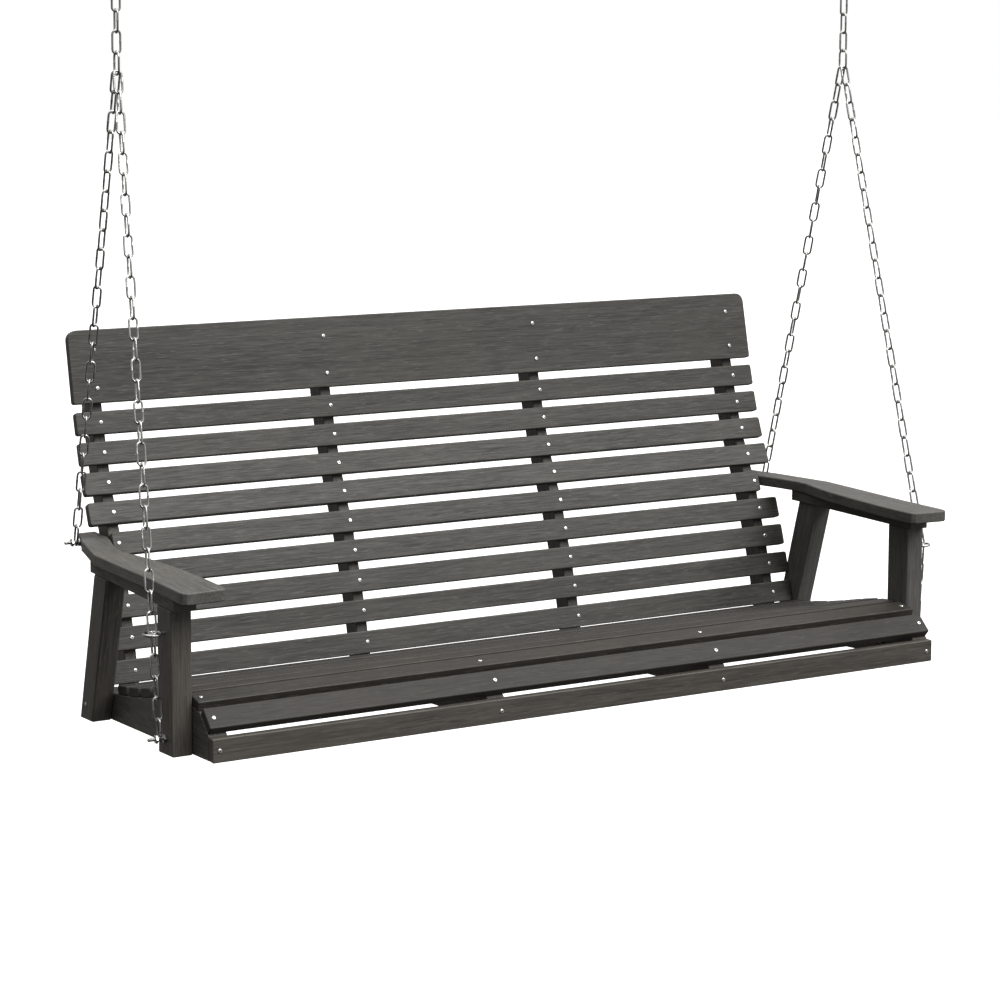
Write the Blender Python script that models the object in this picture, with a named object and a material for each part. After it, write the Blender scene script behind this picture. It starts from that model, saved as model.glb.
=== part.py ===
"""Porch swing: a slatted bench with arms that hangs on chains from two ceiling hangers.

The world frame is in metres. X runs along the seat, Y points to the back and Z points up.
The origin lies on the ceiling, midway between the two hangers.

The bench is laid out in its own frame, whose origin is the middle of the front face of the
fifth narrow back slat. The function at() carries a point of that frame into the world.
Boards that touch in the real swing stand 0.3 mm apart here, so that each is its own body.
"""

import math

import bpy
from mathutils import Vector

# Where the bench hangs
HANG_DROP = 1.055
HANG_SHIFT = 0.1807
HANG_X = 0.7215
HANG_Y = -0.1807
HANGER_Z = 1.008
JOINT_Z = 0.8065
GAP = 0.0003

# Boards
SLAT_THICK = 0.0155
SLAT_WIDE = 0.040
SLAT_EDGE = 0.0012
SLAT_CORNER = 0.0042
SEAT_CORNER = 0.0020

# Back: middle of the front face of each narrow slat, from the top one down
BACK_ROWS = (
    (0.0796, 0.1989),
    (0.0643, 0.1481),
    (0.0461, 0.0984),
    (0.0239, 0.0500),
    (0.0000, 0.0000),
    (-0.0194, -0.0512),
    (-0.0380, -0.1024),
    (-0.0545, -0.1545),
    (-0.0690, -0.2086),
)
BACK_HALF = 0.7050
BACK_HALF_AT_ARM = 0.6710
BACK_HALF_UNDER_ARM = 0.7030
TOP_SLAT_LOW = (0.0890, 0.2319)
TOP_SLAT_HIGH = (0.1185, 0.3575)
TOP_SLAT_HALF = 0.7057
TOP_SLAT_CORNER = 0.0165

# Uprights that carry the back slats
UPRIGHT_DEEP = 0.045
UPRIGHT_ABOVE_MIDDLE = 0.047
UPRIGHT_FOOT_Y = -0.0715
UPRIGHT_OUTER = (0.6493, 0.6708)
UPRIGHT_INNER_LEFT = (-0.2303, -0.2088)
UPRIGHT_INNER_RIGHT = (0.2085, 0.2300)

# Seat: top face of the slats, front to back
SEAT_LINE = (
    (-0.4510, -0.1712),
    (-0.4110, -0.1645),
    (-0.3985, -0.1655),
    (-0.3585, -0.1694),
    (-0.3360, -0.1725),
    (-0.2870, -0.1840),
    (-0.2240, -0.2000),
    (-0.1590, -0.2132),
    (-0.0800, -0.2253),
)
SEAT_SLATS = 7
SEAT_FIRST_Y = -0.431
SEAT_PITCH = 0.0525
SEAT_HALF = 0.7030
NOSE_Y = -0.4832
NOSE_Z = -0.1895
NOSE_SLOPE_DEG = 40.9
APRON_FACE_Y = -0.5066
APRON_TOP_Z = -0.2177
RAIL_FRONT_Y = -0.4908
RAIL_FRONT_Z = -0.2566
RAIL_REAR_Y = -0.012
RAIL_REAR_TOP_Z = -0.2475
RAIL_DROP = 0.0777
SUPPORT_OUTER = (0.6711, 0.7035)
SUPPORT_INNER_LEFT = (-0.2085, -0.1755)
SUPPORT_INNER_RIGHT = (0.2303, 0.2633)
SUPPORT_EDGE = 0.0012

# Arms
ARM_TOP_Z = 0.0144
ARM_FRONT_Y = -0.490
ARM_FALL = 0.0125
ARM_THICK = 0.0195
ARM_EDGE = 0.0016
ARM_OUTLINE = (
    (0.6755, -0.4880),
    (0.7270, -0.4935),
    (0.7365, -0.4925),
    (0.7420, -0.4875),
    (0.7440, -0.4790),
    (0.7445, -0.4690),
    (0.7433, -0.3660),
    (0.7446, -0.3000),
    (0.7500, -0.1200),
    (0.7225, 0.0170),
    (0.7121, 0.0460),
    (0.7092, 0.0600),
    (0.7030, 0.0845),
    (0.6713, 0.0860),
    (0.6713, 0.0270),
    (0.6772, -0.0040),
    (0.6870, -0.0400),
    (0.6937, -0.0707),
    (0.6968, -0.0950),
    (0.6970, -0.1164),
    (0.6925, -0.1395),
    (0.6836, -0.1852),
    (0.6775, -0.2240),
    (0.6700, -0.3100),
    (0.6667, -0.3936),
    (0.6667, -0.4740),
    (0.6690, -0.4830),
)
PLATE_X = (0.7000, 0.7385)
PLATE_Y = (-0.441, -0.068)
PLATE_THICK = 0.0200
PLATE_EDGE = 0.0012
POST_X = (0.7038, 0.7390)
POST_EDGE = 0.0018
FRONT_POST_Y = (-0.4285, -0.3700)
REAR_POST_TOP_Y = (-0.1465, -0.0875)
REAR_POST_FOOT_Y = (-0.0670, -0.0100)

# Bolts and nuts
BOLT_RADIUS = 0.0030
BOLT_CLEARANCE = 0.0003
BOLT_HEAD_RADIUS = 0.0068
BOLT_HEAD_THICK = 0.0045
NUT_FLATS = 0.0130
NUT_THICK = 0.0040
FRONT_BOLT_Y = -0.400
FRONT_BOLT_Z = -0.236
FRONT_BOLT_X = (0.6706, 0.7687)
FRONT_NUTS_X = (0.7394, 0.7525)
FRONT_LINK_X = 0.7485
REAR_BOLT_Y = 0.052
REAR_BOLT_Z = -0.0020
REAR_BOLT_X = (0.6490, 0.7400)
REAR_NUTS_X = (0.7126, 0.7243)
REAR_LINK_X = 0.7195

# Guide eye on the front post
EYE_X = 0.7585
EYE_Y = -0.400
EYE_Z = -0.066
EYE_RADIUS = 0.0141
EYE_WIRE = 0.0024
EYE_SHANK_END_X = 0.7150

# Chain
LINK_WIRE = 0.0018
LINK_WIDTH = 0.0136
LINK_REACH = 0.0015
LINK_STEPS = 3
UPPER_LINKS = 6
REAR_LINKS = 25
FRONT_LINKS_TO_EYE = 27
FRONT_LINKS_TO_BOLT = 5
YOKE_WIDTH = 0.0200
YOKE_STEPS = 6
YOKE_SIDES = 6
LEG_SPREAD = 0.0031
LEG_SEAT = 0.0052
BOLT_SEAT = 0.0034

# Ceiling hanger
HANGER_PLATE = (0.090, 0.056)
HANGER_PLATE_THICK = 0.004
HANGER_PLATE_CORNER = 0.010
HANGER_HOLES = (0.033, 0.017)
HANGER_HOLE_RADIUS = 0.0028
HANGER_RING_RADIUS = 0.014
HANGER_WIRE = 0.0035
HANGER_STEM_RADIUS = 0.0055
HANGER_LINK_GAP = 0.0022

BOARD_COLOUR = (0.100, 0.095, 0.087)
SEAT_COLOUR = (0.090, 0.082, 0.070)
ARM_COLOUR = (0.115, 0.110, 0.100)
ZINC_COLOUR = (0.62, 0.63, 0.64)
STEEL_COLOUR = (0.55, 0.55, 0.56)

RIGHT = 1
LEFT = -1
SIDES = (("left", LEFT), ("right", RIGHT))


def at(x, y, z):
    """A point of the bench frame in the world frame."""
    return Vector((x, y + HANG_SHIFT, z - HANG_DROP))


def clear_scene():
    for thing in list(bpy.data.objects):
        bpy.data.objects.remove(thing, do_unlink=True)


def make_pivot(name, point):
    """An empty on a joint axis, to which the pieces that turn about it are parented."""
    pivot = bpy.data.objects.new(name, None)
    pivot.empty_display_type = "SINGLE_ARROW"
    pivot.location = point
    bpy.context.scene.collection.objects.link(pivot)
    return pivot


def make_finish(name, colour, metallic, roughness):
    finish = bpy.data.materials.new(name)
    finish.use_nodes = True
    shader = finish.node_tree.nodes["Principled BSDF"]
    shader.inputs["Base Color"].default_value = (*colour, 1.0)
    shader.inputs["Metallic"].default_value = metallic
    shader.inputs["Roughness"].default_value = roughness
    return finish


def add_object(name, points, faces, side=RIGHT, parent=None, colour=BOARD_COLOUR, metallic=0.0):
    """An object of world points. The left side is the right side mirrored across X."""
    if side == LEFT:
        points = [Vector((-p.x, p.y, p.z)) for p in points]
        faces = [tuple(reversed(face)) for face in faces]
    low = Vector([min(p[axis] for p in points) for axis in range(3)])
    high = Vector([max(p[axis] for p in points) for axis in range(3)])
    middle = (low + high) / 2
    mesh = bpy.data.meshes.new(name)
    mesh.from_pydata([tuple(p - middle) for p in points], [], faces)
    mesh.update()
    thing = bpy.data.objects.new(name, mesh)
    thing.location = middle
    if parent is not None:
        thing.parent = parent
        thing.location = middle - parent.location
    bpy.context.scene.collection.objects.link(thing)
    roughness = 0.35 if metallic else 0.6
    thing.data.materials.append(make_finish(name + "_finish", colour, metallic, roughness))
    return thing


def hide_tool(tool):
    tool.hide_render = True
    tool.display_type = "WIRE"


def combine(thing, tool, operation):
    """A live Boolean of the thing with a hidden tool."""
    hide_tool(tool)
    boolean = thing.modifiers.new(operation.lower() + "_" + tool.name, "BOOLEAN")
    boolean.operation = operation
    boolean.solver = "EXACT"
    boolean.object = tool


def counter_clockwise(outline):
    area = 0.0
    for (x0, y0), (x1, y1) in zip(outline, outline[1:] + outline[:1]):
        area += x0 * y1 - x1 * y0
    return outline if area > 0 else outline[::-1]


def inset(outline, distance):
    """The outline moved inwards by the distance, with mitred corners."""
    moved = []
    count = len(outline)
    for i, point in enumerate(outline):
        here = Vector(point)
        before = (here - Vector(outline[i - 1])).normalized()
        after = (Vector(outline[(i + 1) % count]) - here).normalized()
        normal_before = Vector((-before.y, before.x))
        normal_after = Vector((-after.y, after.x))
        mitre = normal_before + normal_after
        mitre /= 1.0 + normal_before.dot(normal_after)
        moved.append(here + mitre * distance)
    return moved


def rounded_rectangle(length, width, corner, top_corner=None, steps=2):
    """An outline centred on (0, 0). The two upper corners can have their own radius."""
    top_corner = corner if top_corner is None else top_corner
    outline = []
    places = (
        (1, -1, -90, corner),
        (1, 1, 0, top_corner),
        (-1, 1, 90, top_corner),
        (-1, -1, 180, corner),
    )
    for along, across, start, radius in places:
        for step in range(steps + 1):
            turn = math.radians(start + 90 * step / steps)
            x = along * (length / 2 - radius) + radius * math.cos(turn)
            y = across * (width / 2 - radius) + radius * math.sin(turn)
            outline.append((x, y))
    return outline


def board_mesh(outline, thick, origin, u, v, edge):
    """Points and faces of a board whose outer face lies on the plane of u and v.

    The thickness goes to the far side of that plane, and the long edges are chamfered.
    """
    outline = counter_clockwise(list(outline))
    outward = u.cross(v)
    rings = ((-thick, edge), (edge - thick, 0.0), (-edge, 0.0), (0.0, edge))
    points = []
    for depth, back in rings:
        for a, b in inset(outline, back):
            points.append(origin + a * u + b * v + depth * outward)
    count = len(outline)
    faces = [tuple(reversed(range(count)))]
    for ring in range(3):
        for i in range(count):
            j = (i + 1) % count
            low = ring * count
            high = low + count
            faces.append((low + i, low + j, high + j, high + i))
    faces.append(tuple(range(3 * count, 4 * count)))
    return points, faces


def add_cross_slat(name, half, width, middle, rise, parent, colour, corner=SLAT_CORNER, top_corner=None):
    """A slat along X. Middle is the (y, z) of its front face and rise its upward direction."""
    outline = rounded_rectangle(2 * half, width, corner, top_corner, 3 if top_corner is None else 5)
    up = Vector((0.0, rise[0], rise[1])).normalized()
    origin = at(0.0, middle[0], middle[1])
    points, faces = board_mesh(outline, SLAT_THICK, origin, Vector((1, 0, 0)), up, SLAT_EDGE)
    return add_object(name, points, faces, RIGHT, parent, colour)


def add_profile_board(name, outline, span, parent, colour, edge, side=RIGHT):
    """A board cut to a (y, z) outline, as thick in X as the span."""
    origin = at(span[1], 0.0, 0.0)
    thick = span[1] - span[0]
    points, faces = board_mesh(outline, thick, origin, Vector((0, 1, 0)), Vector((0, 0, 1)), edge)
    return add_object(name, points, faces, side, parent, colour)


def arm_top(y):
    return ARM_TOP_Z - ARM_FALL * (y - ARM_FRONT_Y)


def plate_top(y):
    return arm_top(y) - ARM_THICK - GAP


def plate_foot(y):
    return plate_top(y) - PLATE_THICK


def rail_foot(y):
    return RAIL_FRONT_Z - RAIL_DROP * (y - RAIL_FRONT_Y)


def seat_z(y):
    """Height of the top face of the seat at y."""
    for (y0, z0), (y1, z1) in zip(SEAT_LINE, SEAT_LINE[1:]):
        if y <= y1:
            return z0 + (z1 - z0) * (y - y0) / (y1 - y0)
    return SEAT_LINE[-1][1]


def back_directions():
    """Middle and upward direction of the top slat and of each narrow slat, from the top down."""
    low = Vector(TOP_SLAT_LOW)
    high = Vector(TOP_SLAT_HIGH)
    rows = [(low + high) / 2] + [Vector(row) for row in BACK_ROWS]
    result = [(rows[0], (high - low).normalized())]
    for i in range(1, len(rows)):
        above = low if i == 1 else rows[i - 1]
        below = rows[min(i + 1, len(rows) - 1)]
        result.append((rows[i], (above - below).normalized()))
    return result


def upright_outline():
    """The curved strip that lies along the backs of the slats."""
    front = []
    rear = []
    top_half = (Vector(TOP_SLAT_HIGH) - Vector(TOP_SLAT_LOW)).length / 2
    for i, (middle, rise) in enumerate(back_directions()):
        backwards = Vector((rise.y, -rise.x))
        above = UPRIGHT_ABOVE_MIDDLE if i == 0 else SLAT_WIDE / 2
        below = top_half if i == 0 else SLAT_WIDE / 2
        face = middle + backwards * (SLAT_THICK + GAP)
        front.append(face + rise * above)
        front.append(face - rise * below)
        if i == 0:
            rear.append(face + rise * above + backwards * UPRIGHT_DEEP)
        rear.append(face + backwards * UPRIGHT_DEEP)
    front.append(Vector((UPRIGHT_FOOT_Y, rail_foot(UPRIGHT_FOOT_Y))))
    heel = UPRIGHT_FOOT_Y + UPRIGHT_DEEP + 0.001
    rear.append(Vector((heel, rail_foot(heel))))
    return [tuple(p) for p in front + rear[::-1]]


def seat_slat_frame(index):
    """Middle and slope of a seat slat's top face."""
    y = SEAT_FIRST_Y + index * SEAT_PITCH
    front = Vector((y - SLAT_WIDE / 2, seat_z(y - SLAT_WIDE / 2)))
    rear = Vector((y + SLAT_WIDE / 2, seat_z(y + SLAT_WIDE / 2)))
    return (front + rear) / 2, (rear - front).normalized()


def support_outline():
    """Side view of a seat support, with a rest under each slat and a slope for the nose slat."""
    slope = math.radians(NOSE_SLOPE_DEG)
    rise = Vector((math.cos(slope), math.sin(slope)))
    inwards = Vector((rise.y, -rise.x))
    rest = Vector((NOSE_Y, NOSE_Z)) + inwards * (SLAT_THICK + GAP)
    low = rest + rise * ((RAIL_FRONT_Y - rest.x) / rise.x)
    high = rest + rise * ((-0.4550 - rest.x) / rise.x)
    outline = [(RAIL_FRONT_Y, RAIL_FRONT_Z), tuple(low), tuple(high)]
    for index in range(SEAT_SLATS):
        middle, along = seat_slat_frame(index)
        down = Vector((along.y, -along.x))
        under = middle + down * (SLAT_THICK + GAP)
        outline.append(tuple(under - along * (SLAT_WIDE / 2)))
        outline.append(tuple(under + along * (SLAT_WIDE / 2)))
    outline.append((RAIL_REAR_Y, RAIL_REAR_TOP_Z))
    outline.append((RAIL_REAR_Y, rail_foot(RAIL_REAR_Y)))
    return outline


def turned_mesh(profile, origin, axis, reference, segments=12):
    """Points and faces of a solid of revolution, from (distance, radius) pairs."""
    other = axis.cross(reference)
    points = []
    for distance, radius in profile:
        for step in range(segments):
            turn = 2 * math.pi * step / segments
            around = math.cos(turn) * reference + math.sin(turn) * other
            points.append(origin + distance * axis + radius * around)
    faces = [tuple(reversed(range(segments)))]
    for ring in range(len(profile) - 1):
        for i in range(segments):
            j = (i + 1) % segments
            low = ring * segments
            high = low + segments
            faces.append((low + i, low + j, high + j, high + i))
    last = (len(profile) - 1) * segments
    faces.append(tuple(range(last, last + segments)))
    return points, faces


def add_rod(name, start_x, end_x, y, z, radius, side, parent=None):
    """A plain rod along X, used as a cutter or as a shank."""
    profile = ((0.0, radius), (end_x - start_x, radius))
    points, faces = turned_mesh(profile, at(start_x, y, z), Vector((1, 0, 0)), Vector((0, 1, 0)))
    return add_object(name, points, faces, side, parent, STEEL_COLOUR, 1.0)


def loop_mesh(path, middle, across, along, wire, sides):
    """Points and faces of a wire bent along a closed flat path, which runs counter-clockwise."""
    normal = across.cross(along)
    radius = wire / math.cos(math.pi / sides)
    points = []
    count = len(path)
    for i, here in enumerate(path):
        before = (Vector(here) - Vector(path[i - 1])).normalized()
        after = (Vector(path[(i + 1) % count]) - Vector(here)).normalized()
        out_before = Vector((before.y, -before.x))
        out_after = Vector((after.y, -after.x))
        mitre = (out_before + out_after) / (1.0 + out_before.dot(out_after))
        for k in range(sides):
            turn = 2 * math.pi * (k + 0.5) / sides
            flat = Vector(here) + mitre * radius * math.cos(turn)
            level = radius * math.sin(turn)
            points.append(middle + flat.x * across + flat.y * along + level * normal)
    faces = []
    for i in range(count):
        j = (i + 1) % count
        for k in range(sides):
            m = (k + 1) % sides
            faces.append((i * sides + k, j * sides + k, j * sides + m, i * sides + m))
    return points, faces


def circle_path(radius, steps):
    turns = [2 * math.pi * i / steps for i in range(steps)]
    return [(radius * math.cos(turn), radius * math.sin(turn)) for turn in turns]


def link_mesh(start, end, across, width=LINK_WIDTH, steps=LINK_STEPS, sides=4):
    """One oval link between two contact points. Across is the direction of its width."""
    along = (end - start).normalized()
    across = (across - across.dot(along) * along).normalized()
    radius = width / 2
    crown = radius * (math.cos(math.pi / (2 * steps)) if steps % 2 else 1.0)
    low = -LINK_REACH
    high = (end - start).length + LINK_REACH
    path = []
    for step in range(steps + 1):
        turn = math.pi * step / steps
        path.append((radius * math.cos(turn), high - crown + radius * math.sin(turn)))
    for step in range(steps + 1):
        turn = math.pi + math.pi * step / steps
        path.append((radius * math.cos(turn), low + crown + radius * math.sin(turn)))
    return loop_mesh(path, start, across, along, LINK_WIRE, sides)


def chain_points(start, end, links):
    return [start + (end - start) * i / links for i in range(links + 1)]


def add_chain(name, contacts, side, parent, first_across, twist_deg=0.0, last=None):
    """A run of links through the contact points, odd links joined to the even ones between them.

    The width of the first link lies along first_across, and each next link turns a quarter.
    The twist is spread evenly over the run. Last holds other arguments for the last link.
    """
    halves = ([], []), ([], [])
    total = len(contacts) - 1
    for i in range(total):
        along = (contacts[i + 1] - contacts[i]).normalized()
        level = (first_across - first_across.dot(along) * along).normalized()
        turn = math.radians(90 * i + twist_deg * i / max(total - 1, 1))
        across = math.cos(turn) * level + math.sin(turn) * along.cross(level)
        extra = last if last is not None and i == total - 1 else {}
        points, faces = link_mesh(contacts[i], contacts[i + 1], across, **extra)
        held_points, held_faces = halves[i % 2]
        offset = len(held_points)
        held_points.extend(points)
        held_faces.extend(tuple(offset + corner for corner in face) for face in faces)
    chain = add_object(name, *halves[0], side, parent, ZINC_COLOUR, 1.0)
    others = add_object(name + "_other_links", *halves[1], side, parent, ZINC_COLOUR, 1.0)
    combine(chain, others, "UNION")
    return chain


def add_nut(name, start_x, y, z, side, parent):
    """A hexagon nut around an X axis, with a clear bore."""
    bore = BOLT_RADIUS + BOLT_CLEARANCE
    corner = NUT_FLATS / math.sqrt(3)
    points = []
    for x in (start_x, start_x + NUT_THICK):
        for reach in (corner, bore):
            for step in range(12):
                turn = math.radians(30 * step)
                radius = reach
                if reach == corner and step % 2:
                    radius = NUT_FLATS / 2
                points.append(at(x, y + radius * math.cos(turn), z + radius * math.sin(turn)))
    faces = []
    for i in range(12):
        j = (i + 1) % 12
        faces.append((j, i, 12 + i, 12 + j))
        faces.append((24 + i, 24 + j, 36 + j, 36 + i))
        faces.append((i, j, 24 + j, 24 + i))
        faces.append((12 + j, 12 + i, 36 + i, 36 + j))
    return add_object(name, points, faces, side, parent, ZINC_COLOUR, 1.0)


def add_bolt(name, span, y, z, side, parent):
    """A round-headed bolt along X. The head stands before the start of the span."""
    reach = span[1] - span[0]
    profile = (
        (-BOLT_HEAD_THICK, BOLT_HEAD_RADIUS * 0.55),
        (-BOLT_HEAD_THICK * 0.6, BOLT_HEAD_RADIUS * 0.92),
        (0.0, BOLT_HEAD_RADIUS),
        (0.0, BOLT_RADIUS),
        (reach - 0.0008, BOLT_RADIUS),
        (reach, BOLT_RADIUS - 0.0008),
    )
    origin = at(span[0], y, z)
    points, faces = turned_mesh(profile, origin, Vector((1, 0, 0)), Vector((0, 1, 0)))
    return add_object(name, points, faces, side, parent, ZINC_COLOUR, 1.0)


def drill(thing, span, y, z, side, radius=BOLT_RADIUS + BOLT_CLEARANCE):
    """A hole along X through the thing, from before the span to past it."""
    cutter = add_rod(thing.name + "_hole", span[0] - 0.004, span[1] + 0.004, y, z, radius, side)
    combine(thing, cutter, "DIFFERENCE")


def build_back(parent):
    rows = back_directions()
    top_width = (Vector(TOP_SLAT_HIGH) - Vector(TOP_SLAT_LOW)).length
    middle, rise = rows[0]
    add_cross_slat(
        "back_slat_top", TOP_SLAT_HALF, top_width, middle, rise, parent, BOARD_COLOUR,
        top_corner=TOP_SLAT_CORNER,
    )
    for i, (middle, rise) in enumerate(rows[1:], start=1):
        half = BACK_HALF
        if i == 5:
            half = BACK_HALF_AT_ARM
        if i > 5:
            half = BACK_HALF_UNDER_ARM
        add_cross_slat(f"back_slat_{i}", half, SLAT_WIDE, middle, rise, parent, BOARD_COLOUR)
    outline = upright_outline()
    for word, side in SIDES:
        upright = add_profile_board(
            f"upright_outer_{word}", outline, UPRIGHT_OUTER, parent, BOARD_COLOUR, SUPPORT_EDGE, side
        )
        drill(upright, UPRIGHT_OUTER, REAR_BOLT_Y, REAR_BOLT_Z, side)
    inner = (("left", UPRIGHT_INNER_LEFT), ("right", UPRIGHT_INNER_RIGHT))
    for word, span in inner:
        add_profile_board(f"upright_inner_{word}", outline, span, parent, BOARD_COLOUR, SUPPORT_EDGE)


def build_seat(parent):
    for index in range(SEAT_SLATS):
        middle, along = seat_slat_frame(index)
        add_cross_slat(
            f"seat_slat_{index + 1}", SEAT_HALF, SLAT_WIDE, middle, along, parent, SEAT_COLOUR,
            corner=SEAT_CORNER,
        )
    slope = math.radians(NOSE_SLOPE_DEG)
    rise = (math.cos(slope), math.sin(slope))
    add_cross_slat(
        "seat_nose_slat", SEAT_HALF, SLAT_WIDE, (NOSE_Y, NOSE_Z), rise, parent, SEAT_COLOUR,
        corner=SEAT_CORNER,
    )
    tall = APRON_TOP_Z - RAIL_FRONT_Z
    middle = (APRON_FACE_Y, (APRON_TOP_Z + RAIL_FRONT_Z) / 2)
    add_cross_slat(
        "seat_apron", SEAT_HALF, tall, middle, (0.0, 1.0), parent, SEAT_COLOUR,
        corner=SEAT_CORNER,
    )
    outline = support_outline()
    for word, side in SIDES:
        support = add_profile_board(
            f"seat_support_outer_{word}", outline, SUPPORT_OUTER, parent, BOARD_COLOUR, SUPPORT_EDGE, side
        )
        drill(support, SUPPORT_OUTER, FRONT_BOLT_Y, FRONT_BOLT_Z, side)
    inner = (("left", SUPPORT_INNER_LEFT), ("right", SUPPORT_INNER_RIGHT))
    for word, span in inner:
        add_profile_board(f"seat_support_inner_{word}", outline, span, parent, BOARD_COLOUR, SUPPORT_EDGE)


def build_arm(word, side, parent):
    """Posts, plate and armrest of one side, with the holes for the bolts."""
    along = Vector((0.0, 1.0, -ARM_FALL))
    outline = counter_clockwise([(x, y) for x, y in ARM_OUTLINE])
    origin = at(0.0, 0.0, arm_top(0.0))
    points, faces = board_mesh(outline, ARM_THICK, origin, Vector((1, 0, 0)), along, ARM_EDGE)
    armrest = add_object(f"armrest_{word}", points, faces, side, parent, ARM_COLOUR)
    drill(armrest, (0.668, 0.728), REAR_BOLT_Y, REAR_BOLT_Z, side)

    front, rear = PLATE_Y
    plate = [
        (front, plate_foot(front)),
        (rear, plate_foot(rear)),
        (rear, plate_top(rear)),
        (front, plate_top(front)),
    ]
    add_profile_board(f"arm_plate_{word}", plate, PLATE_X, parent, BOARD_COLOUR, PLATE_EDGE, side)

    front, rear = FRONT_POST_Y
    post = [
        (front, rail_foot(front)),
        (rear, rail_foot(rear)),
        (rear, plate_foot(rear) - GAP),
        (front, plate_foot(front) - GAP),
    ]
    front_post = add_profile_board(f"front_post_{word}", post, POST_X, parent, BOARD_COLOUR, POST_EDGE, side)
    drill(front_post, POST_X, FRONT_BOLT_Y, FRONT_BOLT_Z, side)
    socket = add_rod(
        f"front_post_{word}_socket", EYE_SHANK_END_X - GAP, POST_X[1] + 0.004, EYE_Y, EYE_Z,
        EYE_WIRE + BOLT_CLEARANCE, side,
    )
    combine(front_post, socket, "DIFFERENCE")

    post = [
        (REAR_POST_FOOT_Y[0], rail_foot(REAR_POST_FOOT_Y[0])),
        (REAR_POST_FOOT_Y[1], rail_foot(REAR_POST_FOOT_Y[1])),
        (REAR_POST_TOP_Y[1], plate_foot(REAR_POST_TOP_Y[1]) - GAP),
        (REAR_POST_TOP_Y[0], plate_foot(REAR_POST_TOP_Y[0]) - GAP),
    ]
    add_profile_board(f"rear_post_{word}", post, POST_X, parent, BOARD_COLOUR, POST_EDGE, side)


def build_hardware(word, side, parent):
    """Bolts, nuts and the guide eye of one side."""
    add_bolt(f"front_chain_bolt_{word}", FRONT_BOLT_X, FRONT_BOLT_Y, FRONT_BOLT_Z, side, parent)
    add_bolt(f"rear_chain_bolt_{word}", REAR_BOLT_X, REAR_BOLT_Y, REAR_BOLT_Z, side, parent)
    for place, start_x in zip(("inner", "outer"), FRONT_NUTS_X):
        add_nut(f"front_bolt_nut_{place}_{word}", start_x, FRONT_BOLT_Y, FRONT_BOLT_Z, side, parent)
    for place, start_x in zip(("inner", "outer"), REAR_NUTS_X):
        add_nut(f"rear_bolt_nut_{place}_{word}", start_x, REAR_BOLT_Y, REAR_BOLT_Z, side, parent)

    ring_middle = at(EYE_X, EYE_Y, EYE_Z)
    path = circle_path(EYE_RADIUS, 16)
    points, faces = loop_mesh(path, ring_middle, Vector((1, 0, 0)), Vector((0, 1, 0)), EYE_WIRE, 6)
    eye = add_object(f"guide_eye_bolt_{word}", points, faces, side, parent, ZINC_COLOUR, 1.0)
    shank = add_rod(
        f"guide_eye_bolt_{word}_shank", EYE_SHANK_END_X, EYE_X - EYE_RADIUS, EYE_Y, EYE_Z, EYE_WIRE, side
    )
    combine(eye, shank, "UNION")


def build_chains(word, side, upper_pivot, bench_pivot):
    """The upper run on its own pivot, and the two legs that spread from the yoke link."""
    across = Vector((1.0, 0.0, 0.0))
    sideways = Vector((0.0, 1.0, 0.0))
    up = Vector((0.0, 0.0, 1.0))

    hook = at(HANG_X, HANG_Y, HANGER_Z)
    yoke = at(HANG_X, HANG_Y, JOINT_Z)
    top = hook + up * (LINK_WIRE - LINK_REACH + HANGER_LINK_GAP)
    foot = yoke - up * (LINK_WIRE - LINK_REACH)
    contacts = chain_points(top, foot, UPPER_LINKS)
    wide = {"width": YOKE_WIDTH, "steps": YOKE_STEPS, "sides": YOKE_SIDES}
    add_chain(f"chain_upper_{word}", contacts, side, upper_pivot, across, 0.0, wide)

    bolt = at(REAR_LINK_X, REAR_BOLT_Y, REAR_BOLT_Z)
    start = yoke + up * (LEG_SEAT - LINK_REACH) + sideways * LEG_SPREAD
    down = (bolt - start).normalized()
    end = bolt + down * (BOLT_SEAT + LINK_WIRE - LINK_REACH)
    contacts = chain_points(start, end, REAR_LINKS)
    add_chain(f"chain_rear_{word}", contacts, side, bench_pivot, across, 90.0)

    eye = at(EYE_X, EYE_Y, EYE_Z)
    bolt = at(FRONT_LINK_X, FRONT_BOLT_Y, FRONT_BOLT_Z)
    start = yoke + up * (LEG_SEAT - LINK_REACH) - sideways * LEG_SPREAD
    down = (bolt - eye).normalized()
    end = bolt + down * (BOLT_SEAT + LINK_WIRE - LINK_REACH)
    contacts = chain_points(start, eye, FRONT_LINKS_TO_EYE)
    contacts = contacts[:-1] + chain_points(eye, end, FRONT_LINKS_TO_BOLT)
    add_chain(f"chain_front_{word}", contacts, side, bench_pivot, across)


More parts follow.
